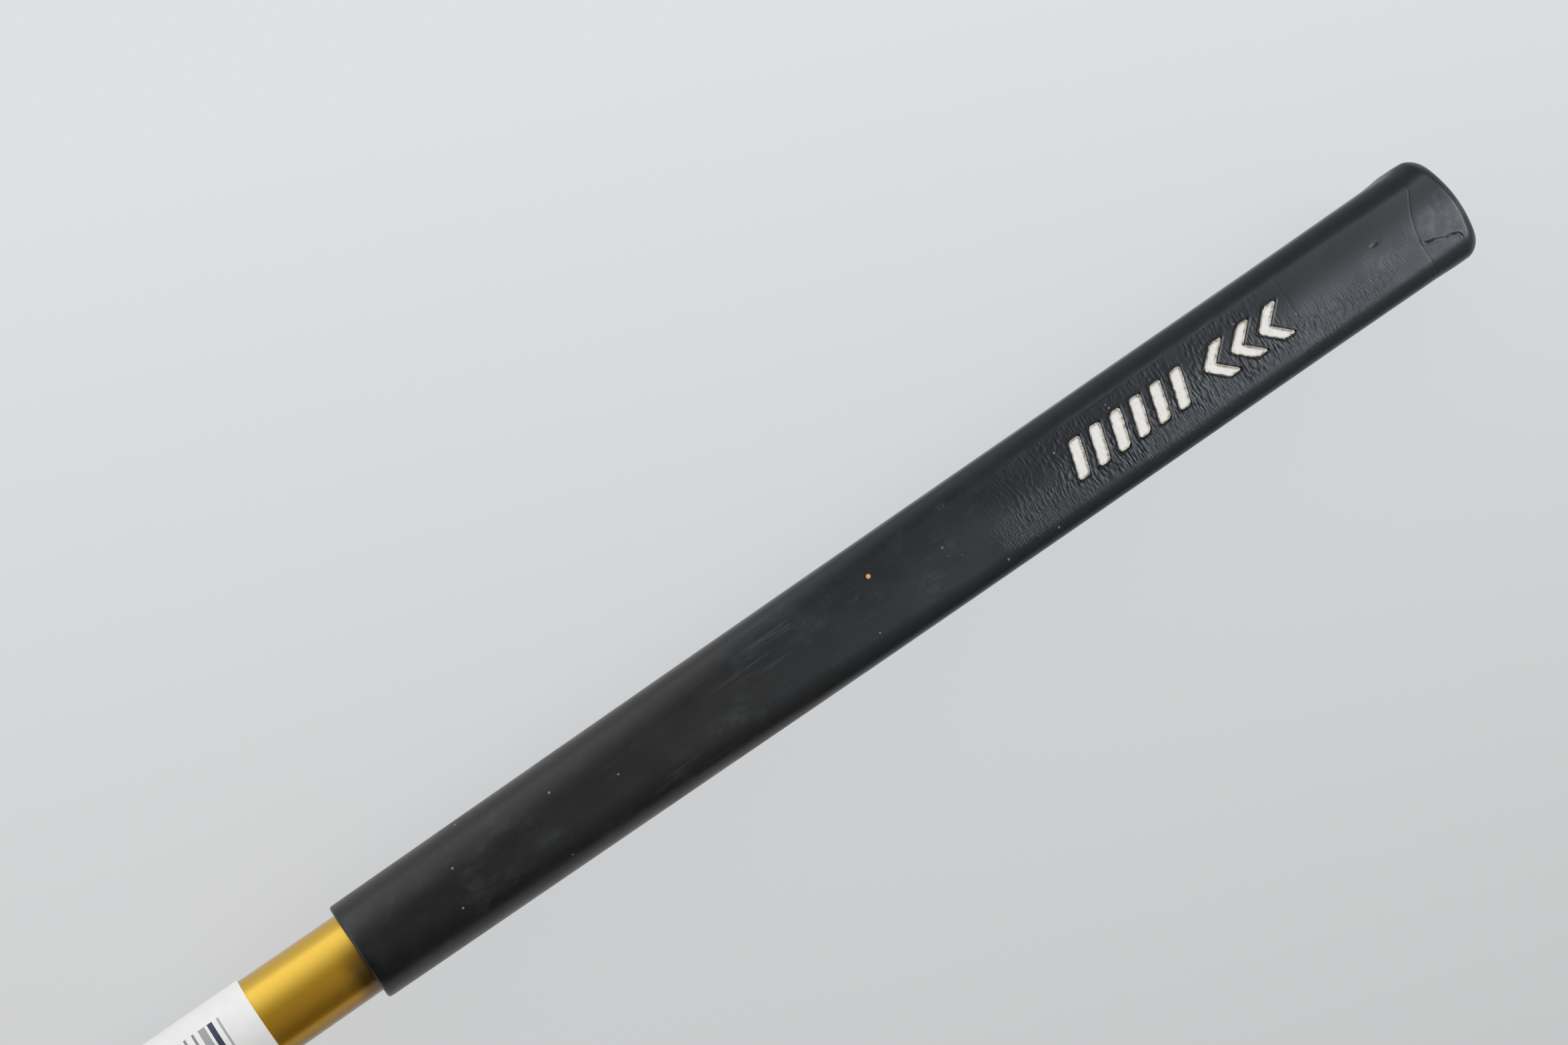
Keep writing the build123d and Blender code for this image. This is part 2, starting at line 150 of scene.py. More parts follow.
def smooth_between(x, knots, values):
    """Cubic curve through the values at the knots, without overshoot at a level stretch."""
    knots, values = np.asarray(knots, float), np.asarray(values, float)
    steps = np.diff(values) / np.diff(knots)
    slopes = np.zeros(len(knots))
    inner = steps[:-1] * steps[1:] > 0
    slopes[1:-1][inner] = 2 * steps[:-1][inner] * steps[1:][inner] / (steps[:-1] + steps[1:])[inner]
    slopes[0], slopes[-1] = steps[0], steps[-1]
    i = np.clip(np.searchsorted(knots, x) - 1, 0, len(knots) - 2)
    width = knots[i + 1] - knots[i]
    t = np.clip((x - knots[i]) / width, 0, 1)
    return ((2 * t**3 - 3 * t**2 + 1) * values[i] + (t**3 - 2 * t**2 + t) * width * slopes[i]
            + (3 * t**2 - 2 * t**3) * values[i + 1] + (t**3 - t**2) * width * slopes[i + 1])


def step(x, low, high):
    """Smooth step from 0 at low to 1 at high."""
    t = np.clip((x - low) / (high - low), 0, 1)
    return t * t * (3 - 2 * t)


# ---------------------------------------------------------------- node materials
class Finish:
    """A node material, with short ways to add a node and to wire it to the shader."""

    def __init__(self, name, color, roughness, metallic=0.0, **inputs):
        self.material = bpy.data.materials.new(name)
        self.material.use_nodes = True
        self.tree = self.material.node_tree
        self.shader = self.tree.nodes["Principled BSDF"]
        self.set("Base Color", (*color, 1))
        self.set("Roughness", roughness)
        self.set("Metallic", metallic)
        for key, value in inputs.items():
            self.set(key.replace("_", " "), value)

    def set(self, socket, value):
        """Sets or links one of the shader's sockets."""
        self.put(self.shader.inputs[socket], value)

    def put(self, socket, value):
        """Links another node's socket, or sets a plain value."""
        if isinstance(value, bpy.types.NodeSocket):
            self.tree.links.new(value, socket)
        else:
            socket.default_value = value

    def node(self, kind, inputs=(), **settings):
        """Adds a node. inputs maps a socket's name or number to a value or to another socket."""
        made = self.tree.nodes.new("ShaderNode" + kind)
        for key, value in settings.items():
            setattr(made, key, value)
        for key, value in dict(inputs).items():
            self.put(made.inputs[key], value)
        return made

    def place(self, scale=(1, 1, 1), shift=(0, 0, 0)):
        """Object coordinates in millimetres, then scaled: a scale of 1 / 5 repeats in 5 mm."""
        coordinates = self.node("TexCoord").outputs["Object"]
        scale = tuple(s / MM for s in scale)
        inputs = {"Vector": coordinates, "Scale": scale, "Location": shift}
        return self.node("Mapping", inputs).outputs[0]

    def noise(self, size, detail=3.0, rough=0.5, stretch=(1, 1, 1), shift=(0, 0, 0)):
        """Noise from 0 to 1 with features of a size in millimetres, longer where stretched."""
        where = self.place([1 / (size * s) for s in stretch], shift)
        inputs = {"Vector": where, "Scale": 1.0, "Detail": detail, "Roughness": rough}
        return self.node("TexNoise", inputs).outputs["Fac"]

    def ramp(self, value, low, high, start=0.0, end=1.0):
        """Maps a value from low..high to start..end, clamped and smooth."""
        made = self.node("MapRange", {0: value, 1: low, 2: high, 3: start, 4: end},
                         interpolation_type="SMOOTHSTEP")
        return made.outputs[0]

    def math(self, operation, a, b=0.0):
        return self.node("Math", {0: a, 1: b}, operation=operation).outputs[0]

    def times(self, a, b):
        return self.math("MULTIPLY", a, b)

    def mix(self, share, a, b):
        """Colour a where share is 0 and b where it is 1."""
        made = self.node("Mix", {0: share}, data_type="RGBA")
        for socket, value in ((made.inputs[6], a), (made.inputs[7], b)):
            self.put(socket, value if isinstance(value, bpy.types.NodeSocket) else (*value, 1))
        return made.outputs[2]

    def along(self):
        """Millimetres from the butt end, and the sideways and upward places."""
        parts = self.node("SeparateXYZ", {0: self.place()})
        return self.math("SUBTRACT", BUTT_X, parts.outputs[0]), parts.outputs[1], parts.outputs[2]

    def band(self, value, low, high, soft):
        """1 between low and high, fading to 0 over soft on each side."""
        rise = self.ramp(value, low - soft, low)
        return self.times(rise, self.ramp(value, high, high + soft, 1.0, 0.0))

    def spot(self, station, aside, radius):
        """1 at a place on the grip's upper side, fading to 0 at the radius."""
        parts = self.along()
        off = [self.math("SUBTRACT", part, value) for part, value in zip(parts, (station, aside))]
        offset = self.node("CombineXYZ", {0: off[0], 1: off[1]}).outputs[0]
        far = self.node("VectorMath", {0: offset}, operation="LENGTH").outputs["Value"]
        above = self.ramp(parts[2], AXIS_Z + 3, AXIS_Z + 5)
        return self.times(self.ramp(far, 0, radius, 1.0, 0.0), above)

    def dust(self, spacing, radius):
        """Scattered specks: up to radius millimetres each, one in a few cells of the spacing."""
        cells = self.node("TexVoronoi", {"Vector": self.place([1 / spacing] * 3), "Scale": 1.0})
        chance = self.node("SeparateColor", {0: cells.outputs["Color"]}).outputs[0]
        size = self.ramp(chance, 0.70, 1.0, 0.0, radius)
        return self.math("LESS_THAN", cells.outputs["Distance"], size)

    def bump(self, height, depth, strength=1.0, under=None):
        """Bump from a height of 0 to 1 that is depth millimetres deep."""
        made = self.node("Bump", {"Height": height, "Distance": depth * MM, "Strength": strength})
        if under is not None:
            self.put(made.inputs["Normal"], under)
        self.set("Normal", made.outputs[0])
        return made.outputs[0]


RUBBER = (0.0056, 0.0059, 0.0065)
RUBBER_BLOOM = (0.0085, 0.0092, 0.0105)
RUBBER_FILM = (0.030, 0.032, 0.034)
RUBBER_RUBBED = (0.075, 0.078, 0.08)
CAP_FILM = (0.046, 0.049, 0.053)
HAZE = (0.84, 0.91, 1.0)   # the bluish sheen of the butt half
DUST = (0.42, 0.40, 0.36)
TAN = (0.75, 0.42, 0.16)
GOLD = (0.71, 0.455, 0.036)
# painted shade: the deeper orange of the tube's -Y side, away from the main light
GOLD_SHADED_SIDE = (0.86, 0.445, 0.020)
# painted shade for the tube's -Y edge
GOLD_EDGE_SHADE = (0.16, 0.085, 0.012)
# painted reflection: the grip's dark reflection in the tube by its mouth
GOLD_MOUTH_REFLECTION = (0.060, 0.030, 0.006)
GOLD_SPECK = (0.12, 0.08, 0.03)
GOLD_SHEEN = (0.78, 0.68, 0.54, 1)
PAINT = (0.97, 0.96, 0.93)
PAINT_YELLOWED = (0.62, 0.57, 0.46)
PAINT_DIRT = (0.22, 0.17, 0.11)
PAPER = (0.93, 0.93, 0.92)
PAPER_SHADE = (0.86, 0.86, 0.855)
INK = (0.035, 0.04, 0.075)

# Stretches of the grip, as stations from and to, then how softly they end.
FILM_STRETCH = (124, 258, 8)
RUB_STRETCH = (156, 200, 12)
CRAZE_STRETCH = (18, 118, 8)
CRUMB_STRETCH = (112, 160, 8)
# Places on the flat, as station, sideways and radius.
CAP_SMUDGE = (8.0, -1.9, 7.5)
CAP_SCUFF = (5.8, -2.4, 2.8)
TAN_SPECK = (147.4, 4.2, 0.75)
STAR_SCUFFS = [((128, 7.2, 1.8), 1.0), ((137, -3.6, 3.0), 0.5), ((156, 6.2, 3.4), 0.45)]

# The label's printed bars: their two ends sideways, then start, width and darkness of each.
PRINT_RIGHT, PRINT_LEFT = -6.6, 5.0
LABEL_BARS = [
    (5.9, 0.35, 0.55), (7.2, 0.95, 1.0), (8.7, 1.25, 0.6), (10.9, 0.4, 0.75), (12.5, 0.4, 0.75),
    (13.9, 0.9, 0.9), (15.9, 0.35, 0.7), (17.0, 1.3, 0.95), (19.4, 0.5, 0.8),
]


def grip_rubber():
    """Black moulded rubber: a dull bloom, lengthwise rub marks, dust and crazed skin."""
    f = Finish("grip_rubber", RUBBER, 0.40)
    station, aside, up = f.along()
    bloom = f.noise(17, detail=5, rough=0.65, stretch=(1.8, 1, 1))
    dull = f.mix(f.ramp(bloom, 0.38, 0.72), RUBBER, RUBBER_BLOOM)
    clouds = f.ramp(f.noise(6, detail=6, rough=0.7, stretch=(1.6, 1, 1)), 0.50, 0.72)
    film = f.times(clouds, f.band(station, *FILM_STRETCH))
    dull = f.mix(f.times(film, 0.7), dull, RUBBER_FILM)
    rub = f.noise(0.8, detail=4, rough=0.7, stretch=(40, 1, 1))
    rub_zone = f.band(station, *RUB_STRETCH)
    rub_zone = f.times(rub_zone, f.ramp(f.noise(9, stretch=(2.4, 1, 1)), 0.42, 0.58))
    marked = f.mix(f.times(f.ramp(rub, 0.56, 0.70, 0, 0.45), rub_zone), dull, RUBBER_RUBBED)
    smudge = f.ramp(f.spot(*CAP_SMUDGE), 0.0, 0.5)
    smudge = f.times(smudge, f.ramp(f.noise(2.6, detail=5, rough=0.6), 0.42, 0.62))
    marked = f.mix(smudge, marked, CAP_FILM)
    scuff = f.noise(0.35, detail=3, rough=0.7, stretch=(6, 1, 1))
    scuffed = f.times(f.ramp(scuff, 0.52, 0.66, 0, 0.8), f.spot(*CAP_SCUFF))
    marked = f.mix(scuffed, marked, RUBBER_RUBBED)
    star = f.ramp(f.noise(0.5, detail=5, rough=0.8), 0.48, 0.66, 0, 0.9)
    worn = 0.0
    for where, strength in STAR_SCUFFS:
        worn = f.math("MAXIMUM", worn, f.times(f.spot(*where), strength))
    marked = f.mix(f.times(star, worn), marked, RUBBER_RUBBED)
    marked = f.mix(f.ramp(f.spot(*TAN_SPECK), 0.30, 0.42), marked, TAN)
    marked = f.mix(f.times(f.dust(2.4, 0.105), 0.5), marked, DUST)
    crumb_patches = f.ramp(f.noise(7, detail=3, shift=(5, 3, 0)), 0.50, 0.62, 0, 0.8)
    crumbs = f.times(f.dust(1.2, 0.095), crumb_patches)
    marked = f.mix(f.times(crumbs, f.band(station, *CRUMB_STRETCH)), marked, DUST)
    f.set("Base Color", marked)
    f.set("Specular Tint", f.mix(f.ramp(station, 110, 200), HAZE, (1, 1, 1)))
    cloud = f.noise(8, detail=6, rough=0.68)
    f.set("Roughness", f.ramp(cloud, 0.3, 0.7, 0.29, 0.39))
    grain = f.bump(f.noise(0.35, detail=3, rough=0.6), 0.010)
    scratches = f.noise(0.22, detail=2, rough=0.6, stretch=(60, 1, 1))
    lined = f.bump(f.times(f.ramp(scratches, 0.60, 0.75), rub_zone), 0.02, under=grain)
    folds = {"Vector": f.place((1 / 0.5, 1 / 2.4, 1 / 2.4)), "Scale": 1.0, "Detail": 4.0, "Distortion": 1.4}
    craze = f.node("TexNoise", folds).outputs["Fac"]
    low_side = f.ramp(aside, -5.0, 1.5, 1.0, 0.12)
    patches = f.ramp(f.noise(9, detail=3, stretch=(2, 1, 1)), 0.35, 0.60)
    craze_zone = f.times(f.times(f.band(station, *CRAZE_STRETCH), patches), low_side)
    on_top = f.ramp(up, AXIS_Z + MOUTH_R - 3.5, AXIS_Z + MOUTH_R - 1.0)
    f.bump(f.times(f.times(craze, craze_zone), on_top), 0.09, under=lined)
    return f.material


def mark_paint():
    """Thick white paint, yellowed and dirty where it is worn at the rims."""
    f = Finish("mark_paint", PAINT, 0.5)
    worn = f.node("Attribute", attribute_name="worn").outputs["Fac"]
    dirt = f.noise(0.9, detail=5, rough=0.7)
    rim = f.math("ADD", f.times(worn, 0.75), f.times(f.ramp(dirt, 0.3, 0.75), 0.5))
    stained = f.mix(f.ramp(dirt, 0.52, 0.74, 0, 0.45), PAINT, PAINT_YELLOWED)
    walls = f.mix(f.times(worn, 0.5), stained, PAINT_YELLOWED)
    f.set("Base Color", f.mix(f.ramp(rim, 0.70, 1.15, 0, 0.9), walls, PAINT_DIRT))
    f.set("Roughness", f.ramp(f.noise(1.4, detail=3), 0.3, 0.7, 0.38, 0.58))
    f.bump(f.noise(0.45, detail=4, rough=0.6), 0.03)
    return f.material


def label_paper():
    """Coated white paper with plain printed bars that run round the tube."""
    f = Finish("label_paper", PAPER, 0.45)
    station, aside, up = f.along()
    place = f.math("SUBTRACT", station, LABEL_START)
    printed = f.band(aside, PRINT_RIGHT, PRINT_LEFT, 0.05)
    ink = None
    for start, width, tone in LABEL_BARS:
        edge = f.math("ADD", place, f.times(f.noise(0.5, detail=2), 0.05))
        bar = f.times(f.times(f.band(edge, start, start + width, 0.06), printed), tone)
        ink = bar if ink is None else f.math("MAXIMUM", ink, bar)
    on_top = f.ramp(up, AXIS_Z - 1, AXIS_Z)
    paper = f.mix(f.ramp(f.noise(7, detail=3), 0.3, 0.7), PAPER, PAPER_SHADE)
    f.set("Base Color", f.mix(f.times(ink, on_top), paper, INK))
    f.set("Roughness", f.ramp(f.noise(3, detail=3), 0.3, 0.7, 0.38, 0.5))
    f.bump(f.noise(0.3, detail=4, rough=0.65), 0.008)
    return f.material


def gold_tube():
    """Gold anodised aluminium under its clear oxide, with the lines of the drawing die; painted shade on its
    -Y side and edge, and a painted dark reflection of the grip by the mouth.
    """
    f = Finish("gold_anodised", GOLD, 0.28, metallic=1.0, Coat_Weight=0.9, Coat_Roughness=0.16,
               Specular_Tint=GOLD_SHEEN)
    station, aside, _ = f.along()
    lines = f.noise(0.22, detail=4, rough=0.7, stretch=(180, 1, 1))
    cloud = f.noise(12, detail=3, stretch=(2, 1, 1))
    # painted shade: the colour turns deeper orange towards -Y, the side away from the main light; the cloud
    # adds random tone
    tone = f.math("ADD", f.ramp(aside, -2.0, 4.5, 0.9, 0.1), f.ramp(cloud, 0.3, 0.7, -0.1, 0.1))
    base = f.mix(tone, GOLD, GOLD_SHADED_SIDE)
    ragged = f.math("ADD", station, f.times(f.noise(2.5, detail=4), -2.0))
    # painted reflection: a dark patch on the -Y half next to the grip's mouth stands in for the grip's dark
    # reflection in the tube
    at_mouth = f.ramp(ragged, GRIP_LENGTH, GRIP_LENGTH + 4.6, 0.8, 0.0)
    mouth_reflection = f.times(at_mouth, f.ramp(aside, -3.5, 5.0, 1.0, 0.0))
    # painted shade: the tube is darkened along its -Y edge
    base = f.mix(f.ramp(aside, -8.0, -4.5, 0.92, 0.0), base, GOLD_EDGE_SHADE)
    base = f.mix(mouth_reflection, base, GOLD_MOUTH_REFLECTION)
    f.set("Base Color", f.mix(f.times(f.dust(3.7, 0.04), 0.8), base, GOLD_SPECK))
    f.set("Roughness", f.ramp(lines, 0.3, 0.7, 0.32, 0.36))
    f.bump(lines, 0.0005)
    return f.material


def turned_metal(name, color, roughness, **inputs):
    """Metal turned on a lathe, with fine rings round the stick and a few dull clouds."""
    f = Finish(name, color, roughness, metallic=1.0, **inputs)
    rings = f.noise(0.16, detail=4, rough=0.7, stretch=(1, 150, 150))
    cloud = f.noise(5, detail=4, rough=0.6)
    f.set("Base Color", f.mix(f.ramp(cloud, 0.3, 0.7), [c * 0.86 for c in color], color))
    uneven = f.ramp(rings, 0.3, 0.7, -0.06, 0.07)
    uneven = f.math("ADD", uneven, f.ramp(cloud, 0.3, 0.7, -0.04, 0.04))
    f.set("Roughness", f.math("ADD", uneven, roughness))
    f.bump(rings, 0.006)
    return f.material


def plain_finish(name, color, roughness, metallic=0.0, grain=0.4, depth=0.008, **inputs):
    """A finish with a little cloud in its colour and gloss, and a fine grain."""
    f = Finish(name, color, roughness, metallic, **inputs)
    cloud = f.noise(6, detail=4, rough=0.6)
    light = [min(1, c * 1.08) for c in color]
    f.set("Base Color", f.mix(f.ramp(cloud, 0.3, 0.7), [c * 0.86 for c in color], light))
    f.set("Roughness", f.ramp(cloud, 0.3, 0.7, roughness * 0.85, min(1, roughness * 1.15)))
    f.bump(f.noise(grain, detail=3, rough=0.6), depth)
    return f.material


# ---------------------------------------------------------------- grip
# Share of the sleeve from the cap (0) to the mouth (1), width over the mouth's width,
# width of the flat, and how far the back drops from the mouth's radius (0) to the floor (1).
SLEEVE_FORM = [
    (0.00, 3.40, 14.2, 0.86),
    (0.10, 2.95, 14.7, 0.98),
    (0.27, 2.55, 14.7, 0.96),
    (0.52, 1.9, 12.6, 0.58),
    (0.76, 1.05, 5.4, 0.22),
    (1.00, 0.0, 0.6, 0.00),
]
CAP_FLARE = 3.85
DOME_RADIUS = 30.0
DOME_DROP = 3.0          # the dome's centre lies below the axis
CAP_SIDE_LENGTH = 5.0    # from the joint to where the end starts to round off
CAP_ROUND_TOP, CAP_ROUND_SIDE = 1.6, 2.9
CAP_LEAN = 0.12          # the cap flares a little more towards +Y
DOME_ASIDE = -1.3        # the dome is a little fuller towards -Y
CAP_END_WALL = 5.0
VENT_R = 1.5
BORE_R = TUBE_R + 0.24
MOUTH_ROUND = 0.6
SEAM_SHIFT = 0.4         # the cap's joint line runs askew, in an arc, across the flat
SEAM_SLANT = 0.33
SEAM_ARC = 0.035
SEAM_REACH = 6.5
SEAM_DEPTH = 0.016
NICK = (23.7, 1.5)       # as (station, sideways)
NICK_DEPTH, NICK_RADIUS = 0.22, 0.30
CAP_CRACK = [(14.6, -3.4), (13.9, -4.1), (12.2, -4.4), (9.9, -5.4), (8.2, -5.6), (6.7, -6.2),
             (6.3, -7.2)]
CRACK_DEPTH, CRACK_REACH = 0.17, 0.12
CRACK_LIP, CRACK_LIP_PLACE, CRACK_LIP_REACH = 0.06, 0.30, 0.16
CROWN_DROP = 0.52        # how far the butt half of the flat falls to its edges
FLAT_UNEVENNESS = 0.10
FLAT_BLEND = 2.4         # the flat's level carries on this far down the shoulders
RELIEF_BLEND = 0.6       # and its fine relief this far
INSERT_START, INSERT_END = 46.0, 124.0
INSERT_LEFT, INSERT_RIGHT = 7.0, -5.8
MARK_HEIGHT = 7.4
MARK_RECESS = 0.45
MARK_RIM = 0.10
CHEVRON_START, CHEVRON_COUNT, CHEVRON_PITCH = 48.0, 3, 6.9
CHEVRON_ARM, CHEVRON_POINT = 2.9, 4.2
BAR_START, BAR_COUNT, BAR_PITCH = 72.4, 6, 5.0
BAR_WIDTH, BAR_SLANT = 2.6, 2.4


def mark_outlines():
    """Generic marks on the flat as (station, sideways) outlines: chevrons, then slanted bars."""
    half = MARK_HEIGHT / 2
    outlines = []
    for n in range(CHEVRON_COUNT):
        tail = CHEVRON_START + n * CHEVRON_PITCH
        tip = tail + CHEVRON_ARM + CHEVRON_POINT
        outlines.append([(tail, half), (tail + CHEVRON_ARM, half), (tip, 0),
                         (tail + CHEVRON_ARM, -half), (tail, -half), (tail + CHEVRON_POINT, 0)])
    for n in range(BAR_COUNT):
        tail = BAR_START + n * BAR_PITCH
        outlines.append([(tail, half), (tail + BAR_WIDTH, half), (tail + BAR_WIDTH + BAR_SLANT, -half),
                         (tail + BAR_SLANT, -half)])
    return outlines


def distance_inside(x, y, outline):
    """Distance from an outline, above 0 inside it."""
    near = np.full(x.shape, 1e9)
    inside = np.zeros(x.shape, bool)
    for (x1, y1), (x2, y2) in zip(outline, outline[1:] + outline[:1]):
        dx, dy = x2 - x1, y2 - y1
        t = np.clip(((x - x1) * dx + (y - y1) * dy) / (dx * dx + dy * dy), 0, 1)
        near = np.minimum(near, np.hypot(x - x1 - t * dx, y - y1 - t * dy))
        crosses = (y1 > y) != (y2 > y)
        if dy:
            inside ^= crosses & (x < x1 + (y - y1) * dx / dy)
    return np.where(inside, near, -near)


def value_noise(x, y, seed):
    """Smooth noise from 0 to 1 with a lattice of 1, the same on each run."""
    lattice = np.random.default_rng(seed).random((256, 256))
    i, j = np.floor(x).astype(int), np.floor(y).astype(int)
    u, v = step(x - i, 0, 1), step(y - j, 0, 1)
    a, b = lattice[i % 256, j % 256], lattice[(i + 1) % 256, j % 256]
    c, d = lattice[i % 256, (j + 1) % 256], lattice[(i + 1) % 256, (j + 1) % 256]
    return (a * (1 - u) + b * u) * (1 - v) + (c * (1 - u) + d * u) * v


def distance_to_line(x, y, line):
    """Distance from an open line of points."""
    near = np.full(x.shape, 1e9)
    for (x1, y1), (x2, y2) in zip(line, line[1:]):
        dx, dy = x2 - x1, y2 - y1
        t = np.clip(((x - x1) * dx + (y - y1) * dy) / (dx * dx + dy * dy), 0, 1)
        near = np.minimum(near, np.hypot(x - x1 - t * dx, y - y1 - t * dy))
    return near


def grip_columns():
    """Places round the grip as (zone, share), fine on the flat where the marks are."""
    flat = np.concatenate([np.linspace(-1, -0.62, 14, endpoint=False), np.linspace(-0.62, 0.62, 66),
                           np.linspace(0.62, 1, 15)[1:]])
    columns = [("flat", t) for t in flat]
    for zone, count in (("shoulder_right", 14), ("side_right", 3), ("back", 40), ("side_left", 3),
                        ("shoulder_left", 14)):
        columns += [(zone, t) for t in np.linspace(0, 1, count + 1)[1:]]
    return columns[:-1]


def grip_surface(widths, flats, backs):
    """Points round the grip, a row for each section, as sideways and upward places from the axis."""
    half, flat = widths / 2, flats / 2
    shoulder = half - flat
    side_top = MOUTH_R - shoulder
    aside, up = [], []
    for zone, t in grip_columns():
        sign = -1 if zone.endswith("left") else 1
        if zone == "flat":
            aside.append(flat * t)
            up.append(np.full_like(half, MOUTH_R))
        elif zone.startswith("shoulder"):
            turn = (t if sign > 0 else 1 - t) * pi / 2
            aside.append(sign * (flat + shoulder * sin(turn)))
            up.append(side_top + shoulder * cos(turn))
        elif zone.startswith("side"):
            aside.append(sign * half)
            up.append(side_top * (1 - t if sign > 0 else t))
        else:
            aside.append(half * cos(pi * t))
            up.append(-backs * sin(pi * t))
    return np.array(aside).T, np.array(up).T


def form_at(stations):
    """Width, flat and back depth of the sleeve at each station."""
    share, extra, flat, drop = np.array(SLEEVE_FORM).T
    knots = CAP_LENGTH + share * (GRIP_LENGTH - CAP_LENGTH)
    widths = 2 * MOUTH_R + smooth_between(stations, knots, extra)
    flats = smooth_between(stations, knots, flat)
    backs = MOUTH_R + smooth_between(stations, knots, drop) * (AXIS_Z - MOUTH_R)
    return widths, flats, backs


def marks_relief(stations, aside):
    """Height of the flat at the marks: sunk inside them, with a low moulded rim round them."""
    height = np.zeros(stations.shape)
    for outline in mark_outlines():
        inside = distance_inside(stations, aside, outline)
        height += MARK_RIM * np.exp(-((inside + 0.26) / 0.14) ** 2)
        height -= MARK_RECESS * step(inside, -0.10, 0.08)
    return height


def insert_relief(stations, aside):
    """The trace of the mould's marking insert: a fine groove round a slightly sunk field."""
    middle = (INSERT_START + INSERT_END) / 2
    across = np.abs(aside - (INSERT_RIGHT + INSERT_LEFT) / 2) - (INSERT_LEFT - INSERT_RIGHT) / 2
    lengthwise = np.abs(stations - middle) - (INSERT_END - INSERT_START) / 2
    outside = np.maximum(across, lengthwise) + 0.16 * (value_noise(stations / 2.5, aside / 2.5, 5) - 0.5)
    plain = step(value_noise(stations / 4, aside / 4, 6), 0.25, 0.75) * step(-stations, -112, -96)
    return plain * (-0.035 * np.exp(-(outside / 0.16) ** 2) - 0.012 * step(-outside, 0, 0.3))


WRINKLE_HEIGHT = 0.15


def wrinkle_relief(stations, aside):
    """Short ridges across the stick, where the rubber crazed round the marks."""
    drift = 1.8 * value_noise(stations / 5, aside / 3.5, 11)
    drift += 0.30 * value_noise(stations / 1.1, aside, 12)
    ridges = value_noise(stations / 0.41 + drift, aside / 1.5 + 0.3 * stations, 13)
    fine = value_noise(stations / 0.30 + 2 * drift, aside / 0.9, 14)
    amount = 0.35 + 0.65 * step(value_noise(stations / 6, aside / 3.0, 15), 0.25, 0.65)
    low_side = 0.55 + 0.45 * step(-aside, -1.0, 3.5)
    zone = step(stations, 24, 62) * step(-stations, -130, -98) * step(7.4 - np.abs(aside), 0, 1.2)
    near_cap = step(-stations, -62, -40) * step(aside, -3.6, -1.6)
    height = np.abs(2 * ridges - 1) * 0.8 + 0.2 * fine - 0.4
    return WRINKLE_HEIGHT * zone * (1 - near_cap) * amount * low_side * height


def flat_level(stations, aside):
    """The flat is crowned a little near the butt, and not quite even."""
    towards_edge = np.sin(pi / 2 * np.clip(aside / 9.5, -1, 1)) ** 2
    crown = -CROWN_DROP * towards_edge * step(-stations, -215, -150)
    return crown + FLAT_UNEVENNESS * (value_noise(stations / 16, aside / 9, 21) - 0.5)


def flat_relief(stations, aside):
    """Everything that stands on or sinks into the grip's flat face."""
    from_nick = (stations - NICK[0]) ** 2 + (aside - NICK[1]) ** 2
    nick = -NICK_DEPTH * np.exp(-from_nick / NICK_RADIUS**2)
    away = distance_to_line(stations, aside, CAP_CRACK)
    crack = -CRACK_DEPTH * np.exp(-(away / CRACK_REACH) ** 2)
    crack += CRACK_LIP * np.exp(-((away - CRACK_LIP_PLACE) / CRACK_LIP_REACH) ** 2)
    crack *= 0.35 + 0.65 * value_noise(stations / 0.9, aside / 0.9, 7)
    marks = marks_relief(stations, aside)
    clear = 1 - step(-marks, 0.02, 0.15)
    wrinkles = clear * wrinkle_relief(stations, aside)
    return nick + crack + marks + insert_relief(stations, aside) + wrinkles


def finish_grip(stations, aside, up):
    """Adds the flat's relief and the askew joint line, and gives points in the frame."""
    across = np.clip(aside, -SEAM_REACH, SEAM_REACH)
    slant = SEAM_SHIFT - SEAM_SLANT * across - SEAM_ARC * across**2
    near = np.exp(-((stations - CAP_LENGTH) / 5) ** 2) * step(up, 2, MOUTH_R - 1)
    stations = stations + slant * near * step(stations, 3.5, 9.5)
    sunk = MOUTH_R - up
    up = up + flat_level(stations, aside) * np.clip(1 - sunk / FLAT_BLEND, 0, 1)
    top = sunk < RELIEF_BLEND
    up[top] += flat_relief(stations[top], aside[top]) * (1 - sunk[top] / RELIEF_BLEND)
    return np.stack([BUTT_X - stations, aside, AXIS_Z + up], -1).reshape(-1, 3)


def ring_rows(rows):
    """Circles of (station, radius) that keep step with the grip's columns."""
    aside, up = grip_surface(*[np.array([v]) for v in (2 * MOUTH_R, 0.6, MOUTH_R)])
    turn = np.arctan2(aside, up)
    stations = np.array([[station] * turn.shape[1] for station, _ in rows])
    radii = np.array([[radius] for _, radius in rows])
    return stations, radii * np.sin(turn), radii * np.cos(turn)


def stacked(*parts):
    """Joins sets of rows end to end."""
    return [np.concatenate(rows) for rows in zip(*parts)]


def outer_rows(stations, widths, flats, backs):
    """The grip's outer skin, drawn in a little at the joint of sleeve and cap."""
    aside, up = grip_surface(widths, flats, backs)
    joint = 1 - SEAM_DEPTH / MOUTH_R * np.exp(-((stations - CAP_LENGTH) / 0.25) ** 2)[:, None]
    return [np.repeat(stations[:, None], aside.shape[1], axis=1), aside * joint, up * joint]


# Distances from the joint of sleeve and cap that need a row of points.
NEAR_JOINT = np.array([0, 0.06, 0.13, 0.22, 0.35, 0.6, 1.0])


